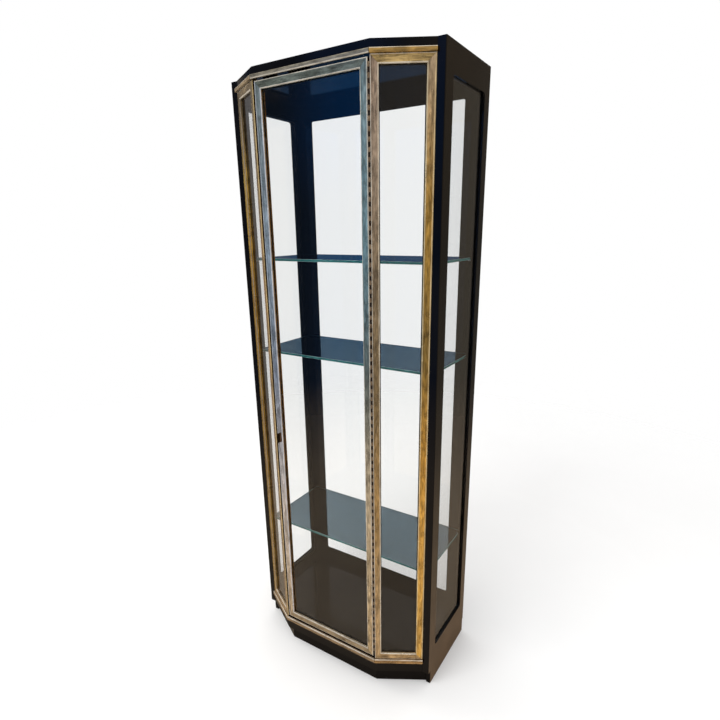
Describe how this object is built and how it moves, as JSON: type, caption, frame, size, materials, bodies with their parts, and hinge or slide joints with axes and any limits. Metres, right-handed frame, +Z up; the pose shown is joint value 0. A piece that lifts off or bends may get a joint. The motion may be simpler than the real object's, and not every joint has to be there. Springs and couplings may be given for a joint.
{
  "type": "glass display showcase",
  "caption": "Tall free-standing display cabinet with a faceted glass front, black lacquered boards, brass framing, a hinged glass door and glass shelves.",
  "frame": {"origin": "on the floor, under the middle of the bounding box", "axes": "+Z up along the height, +Y towards the back, so the door faces -Y; +X towards the door's hinge side"},
  "size_m": [0.73, 0.408, 2],
  "materials": {
    "lacquer": "black high-gloss lacquer on board",
    "brass_trim": "aged polished brass strip",
    "brass_frame": "aged polished brass sheet over a wooden core",
    "window_glass": "clear float glass",
    "shelf_glass": "clear float glass with polished green edges",
    "bead": "black glazing bead",
    "hinge_bronze": "dark aged piano hinge",
    "steel": "plain steel",
    "catch_plastic": "moulded plastic"
  },
  "bodies": {
    "cabinet": {"side_panel_left": "lacquer", "side_panel_right": "lacquer", "top_panel": "lacquer", "deck_panel": "lacquer", "back_frame": "lacquer", "plinth_front_left": "lacquer", "plinth_front_center": "lacquer", "plinth_front_right": "lacquer", "plinth_side_left": "lacquer", "plinth_side_right": "lacquer", "plinth_back": "lacquer", "header_strip_left": "brass_trim", "header_strip_center": "brass_trim", "header_strip_right": "brass_trim", "sill_strip_left": "brass_trim", "sill_strip_center": "brass_trim", "sill_strip_right": "brass_trim", "left_frame_inner_stile": "brass_frame", "left_frame_outer_stile": "brass_frame", "left_frame_top_rail": "brass_frame", "left_frame_bottom_rail": "brass_frame", "right_frame_inner_stile": "brass_frame", "right_frame_outer_stile": "brass_frame", "right_frame_top_rail": "brass_frame", "right_frame_bottom_rail": "brass_frame", "left_glass": "window_glass", "right_glass": "window_glass", "side_glass_left": "window_glass", "side_glass_right": "window_glass", "back_glass": "window_glass", "left_bead": "bead", "right_bead": "bead", "side_bead_left": "bead", "side_bead_right": "bead", "hinge_leaf_frame": "hinge_bronze", "hinge_pin": "steel", "shelf_pin_top_front_left": "steel", "shelf_pin_top_front_right": "steel", "shelf_pin_top_rear_left": "steel", "shelf_pin_top_rear_right": "steel", "shelf_pin_middle_front_left": "steel", "shelf_pin_middle_front_right": "steel", "shelf_pin_middle_rear_left": "steel", "shelf_pin_middle_rear_right": "steel", "shelf_pin_bottom_front_left": "steel", "shelf_pin_bottom_front_right": "steel", "shelf_pin_bottom_rear_left": "steel", "shelf_pin_bottom_rear_right": "steel", "catch_body": "catch_plastic", "shelf_top": "shelf_glass", "shelf_middle": "shelf_glass", "shelf_bottom": "shelf_glass"},
    "door": {"door_free_stile": "brass_frame", "door_hinge_stile": "brass_frame", "door_top_rail": "brass_frame", "door_bottom_rail": "brass_frame", "door_glass": "window_glass", "door_bead": "bead", "hinge_leaf_door": "hinge_bronze", "catch_strike": "steel"}
  },
  "joints": [
    {"name": "door_hinge", "type": "hinge", "parent": "cabinet", "child": "door", "pos_m": [0.1935, -0.1955, 1.04075], "axis": [0, 0, 1], "range_deg": [0, 150]}
  ]
}
